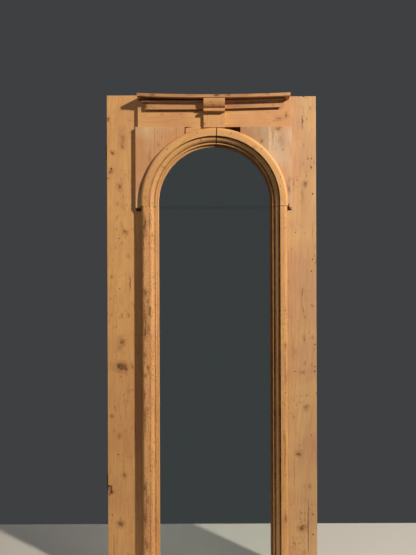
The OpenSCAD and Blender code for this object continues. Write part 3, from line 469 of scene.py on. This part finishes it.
def addDome(mesh, x, y, z, radius, height, sides=10, ragged=0.15):
    rings = []
    for scale, lift in domeRings:
        ring = []
        for k in range(sides):
            turn = 2 * math.pi * k / sides
            reach = radius * scale * (1 + ragged * math.sin(3.1 * k + x * 9))
            ring.append(mesh.verts.new((x + reach * math.cos(turn), y - height * lift,
                                        z + reach * math.sin(turn))))
        rings.append(ring)
    tip = mesh.verts.new((x, y - height, z))
    for low, high in zip(rings, rings[1:]):
        for k in range(sides):
            mesh.faces.new((low[k], low[(k + 1) % sides], high[(k + 1) % sides], high[k]))
    for k in range(sides):
        mesh.faces.new((rings[-1][k], rings[-1][(k + 1) % sides], tip))
    mesh.faces.new(list(reversed(rings[0])))


def meshFrom(name, build):
    work = bmesh.new()
    build(work)
    bmesh.ops.recalc_face_normals(work, faces=work.faces)
    mesh = bpy.data.meshes.new(name)
    work.to_mesh(mesh)
    work.free()
    return mesh


nailMarks = {
    "sinkMm": 0.15, "proudMm": 0.5,
    # board, x, z and radius in millimetres
    "heads": [("right_board", 430, 1830, 3.2), ("right_board", 428, 1796, 3.0),
              ("right_board", 435, 1678, 4.0), ("right_board", 433, 1397, 3.0),
              ("right_board", 429, 1345, 3.0), ("right_board", 443, 1030, 3.2),
              ("right_board", 442, 935, 2.8), ("right_board", 441, 915, 3.8),
              ("right_board", 357, 915, 2.8), ("right_board", 360, 1513, 2.5),
              ("right_board", 432, 213, 3.5), ("right_board", 426, 640, 3.0),
              ("left_board", -399, 1489, 2.8), ("left_board", -396, 1273, 2.8),
              ("left_board", -443, 1995, 2.8), ("left_board", -436, 1230, 2.5),
              ("left_board", -405, 560, 3.0), ("right_spandrel_outer", 305, 1866, 2.8),
              ("left_board", -432, 300, 3.0)],
}


def buildNails(work):
    for board, x, z, radius in nailMarks["heads"]:
        addDome(work, x / 1000, frameFaceY[board] + nailMarks["sinkMm"] / 1000, z / 1000, radius / 1000,
                (nailMarks["proudMm"] + nailMarks["sinkMm"]) / 1000)


addPiece("board_nail_heads", meshFrom("boardNailHeads", buildNails), rustyIron, "frame")

cracks = {
    # dark ribbons that lie on the wood, drawn wider than real cracks so that they show
    "proudMm": 0.3, "stepMm": 7, "driftMm": 0.3, "thinnestMm": 0.1, "ridgeMm": 0.3, "depthMm": 0.8,
    # board, x, lowest and highest z, greatest width in millimetres
    "runs": [("right_board", 411, 128, 372, 3.6), ("right_board", 391, 1950, 2018, 2.9),
             ("left_board", -350, 1262, 1326, 2.4), ("right_board", 352, 420, 560, 1.1),
             ("left_board", -424, 60, 210, 1.8), ("right_board", 388, 1190, 1262, 1.8),
             ("left_board", -372, 700, 800, 1.1), ("right_board", 436, 1480, 1560, 1.0),
             ("right_board", 372, 30, 118, 1.6), ("left_board", -330, 620, 690, 1.3),
             ("frieze_board", 318, 1990, 2030, 1.4), ("side_architrave_left", -281, 1065, 1140, 1.9),
             ("side_architrave_left", -284, 1190, 1282, 1.6), ("side_architrave_left", -281, 300, 460, 2.1),
             ("side_architrave_left", -285, 650, 760, 1.6), ("side_architrave_right", 307, 520, 640, 1.6),
             ("side_architrave_right", 309, 860, 990, 1.4)],
}


def buildCracks(work):
    for board, x, low, high, width in cracks["runs"]:
        faceY = frameFaceY[board] - cracks["proudMm"] / 1000
        wingY = faceY + cracks["ridgeMm"] / 1000
        rootY = faceY + cracks["depthMm"] / 1000
        count = max(5, int((high - low) / cracks["stepMm"]))
        previous = None
        drift = 0.0
        for k in range(count + 1):
            along = k / count
            drift += random.uniform(-cracks["driftMm"], cracks["driftMm"])
            half = width / 2 * math.sin(math.pi * along) ** 0.6 * random.uniform(0.6, 1.0)
            half += cracks["thinnestMm"] / 2
            z = (low + (high - low) * along) / 1000
            row = [work.verts.new(((x + drift - half) / 1000, wingY, z)),
                   work.verts.new(((x + drift) / 1000, faceY, z)),
                   work.verts.new(((x + drift + half) / 1000, wingY, z)),
                   work.verts.new(((x + drift) / 1000, rootY, z))]
            if previous:
                for a in range(4):
                    work.faces.new((previous[a], previous[(a + 1) % 4], row[(a + 1) % 4], row[a]))
            else:
                work.faces.new(list(reversed(row)))
            previous = row
        work.faces.new(previous)


addPiece("drying_cracks", meshFrom("dryingCracks", buildCracks), crackDark, "frame")

fillerCrumbs = {
    "sinkMm": 0.2, "sides": 8, "ragged": 0.3,
    # node, x, z, radius and height in millimetres; each sits at its node's foremost face, so the two on
    # the moulded nodes stand clear of the wood: 13 mm on the cornice, 1 mm on the keystone
    "crumbs": [("frieze_board", -305, 1967, 2.6, 0.8), ("frieze_board", -309, 1971, 1.6, 0.6),
               ("cornice_moulding_left", -226, 2049, 2.2, 0.6), ("keystone", 2, 2062, 2.2, 0.7),
               ("frieze_board", -298, 1966.5, 1.3, 0.5)],
}


def buildCrumbs(work):
    for node, x, z, radius, height in fillerCrumbs["crumbs"]:
        addDome(work, x / 1000, frameFaceY[node] + fillerCrumbs["sinkMm"] / 1000, z / 1000, radius / 1000,
                height / 1000, fillerCrumbs["sides"], fillerCrumbs["ragged"])


addPiece("filler_crumbs", meshFrom("fillerCrumbs", buildCrumbs), chalkFiller, "frame")

splinters = {
    "count": 9, "lengthMm": (4, 11), "widthMm": (0.7, 1.8),
    "lowest": 0.1, "span": 0.65,  # where they stand, as shares of the moulding's height
    "deep": (0.1, 0.6),           # how far out from the frieze, as a share of the moulding's depth
    "mitreShare": 0.6,            # the mitre's face is at 1, so the fibres start up to 3 mm clear of it
    "embedMm": 4, "tipWanderMm": 1,
}


def buildSplinters(work):
    for node, side in (("cornice_moulding_left", -1), ("cornice_moulding_right", 1)):
        low, high = nodeBox(node)
        frieze = frameFaceY["frieze_board"]
        for k in range(splinters["count"]):
            rise = splinters["lowest"] + splinters["span"] * k / splinters["count"]
            z = low.z + (high.z - low.z) * rise
            deep = random.uniform(*splinters["deep"])
            y = frieze + (low.y - frieze) * deep
            end = high.x if side > 0 else low.x
            behind = (1 - deep) * splinters["mitreShare"] * (frieze - low.y) + splinters["embedMm"] / 1000
            root = end - side * behind
            length = random.uniform(*splinters["lengthMm"]) / 1000
            half = random.uniform(*splinters["widthMm"]) / 2000
            base = [work.verts.new((root, y - half, z - half)),
                    work.verts.new((root, y + half, z - half)),
                    work.verts.new((root, y + half * 0.4, z + half)),
                    work.verts.new((root, y - half, z + half))]
            wander = splinters["tipWanderMm"] / 1000
            tip = work.verts.new((root + side * length, y - random.uniform(-wander, wander),
                                  z + random.uniform(-wander, wander)))
            work.faces.new(base)
            for a in range(4):
                work.faces.new((base[a], base[(a + 1) % 4], tip))


addPiece("mitre_splinters", meshFrom("mitreSplinters", buildSplinters), tornPine, "frame")
print("marks made")

# floor, light and camera
studio = {
    "floor": "#d9d8d4", "floorRoughness": 0.8, "floorWidth": 3.0, "floorDepth": 1.2, "wall": "#3e4042",
    "lensMm": 37.7, "camera": (-0.0163, -2.516, 1.320), "cameraRoll": 0.2, "cameraReach": 50,
    "aim": (0, 0, 1.35),
    "key": (3.35, -3.1, 3.95), "keySize": 0.3, "keyWatts": 140, "keySpread": 120, "keyTone": "#fff0dc",
    "fill": (-1.7, -2.4, 2.9), "fillSize": 1.6, "fillWatts": 6, "fillSpread": 120, "fillTone": "#ffe9d0",
    "back": (1.6, 3.6, 2.6), "backSize": 2.0, "backWatts": 45, "backSpread": 180, "backTone": "#ffffff",
}

floorMaterial = bpy.data.materials.new("paleFloor")
floorMaterial.use_nodes = True
floorShader = floorMaterial.node_tree.nodes["Principled BSDF"]
floorShader.inputs["Base Color"].default_value = linearColour(studio["floor"])
floorShader.inputs["Roughness"].default_value = studio["floorRoughness"]
floorMesh = bpy.data.meshes.new("floor")
halfWidth, halfDepth = studio["floorWidth"] / 2, studio["floorDepth"] / 2
floorMesh.from_pydata([(-halfWidth, -halfDepth, 0), (halfWidth, -halfDepth, 0),
                       (halfWidth, halfDepth, 0), (-halfWidth, halfDepth, 0)], [], [(0, 1, 2, 3)])
floorMesh.materials.append(floorMaterial)
floor = bpy.data.objects.new("floor", floorMesh)
bpy.context.scene.collection.objects.link(floor)

world = bpy.data.worlds.new("studioWall")
bpy.context.scene.world = world
world.use_nodes = True
world.node_tree.nodes["Background"].inputs[0].default_value = linearColour(studio["wall"])


def addSoftbox(name, place, target, size, watts, spread, tone):
    data = bpy.data.lights.new(name, "AREA")
    data.shape = "DISK"
    data.size = size
    data.energy = watts
    data.spread = math.radians(spread)
    data.color = linearColour(tone)[:3]
    lamp = bpy.data.objects.new(name, data)
    lamp.location = place
    lamp.rotation_euler = (Vector(target) - Vector(place)).to_track_quat("-Z", "Y").to_euler()
    bpy.context.scene.collection.objects.link(lamp)


for lampName in ("key", "fill", "back"):
    addSoftbox(lampName, studio[lampName], studio["aim"], studio[lampName + "Size"],
               studio[lampName + "Watts"], studio[lampName + "Spread"], studio[lampName + "Tone"])

cameraData = bpy.data.cameras.new("camera")
cameraData.lens = studio["lensMm"]
cameraData.clip_end = studio["cameraReach"]
camera = bpy.data.objects.new("camera", cameraData)
camera.location = studio["camera"]
camera.rotation_euler = (math.radians(90), math.radians(studio["cameraRoll"]), 0)
bpy.context.scene.collection.objects.link(camera)
bpy.context.scene.camera = camera
bpy.context.scene.view_settings.view_transform = "Standard"
print("studio set")
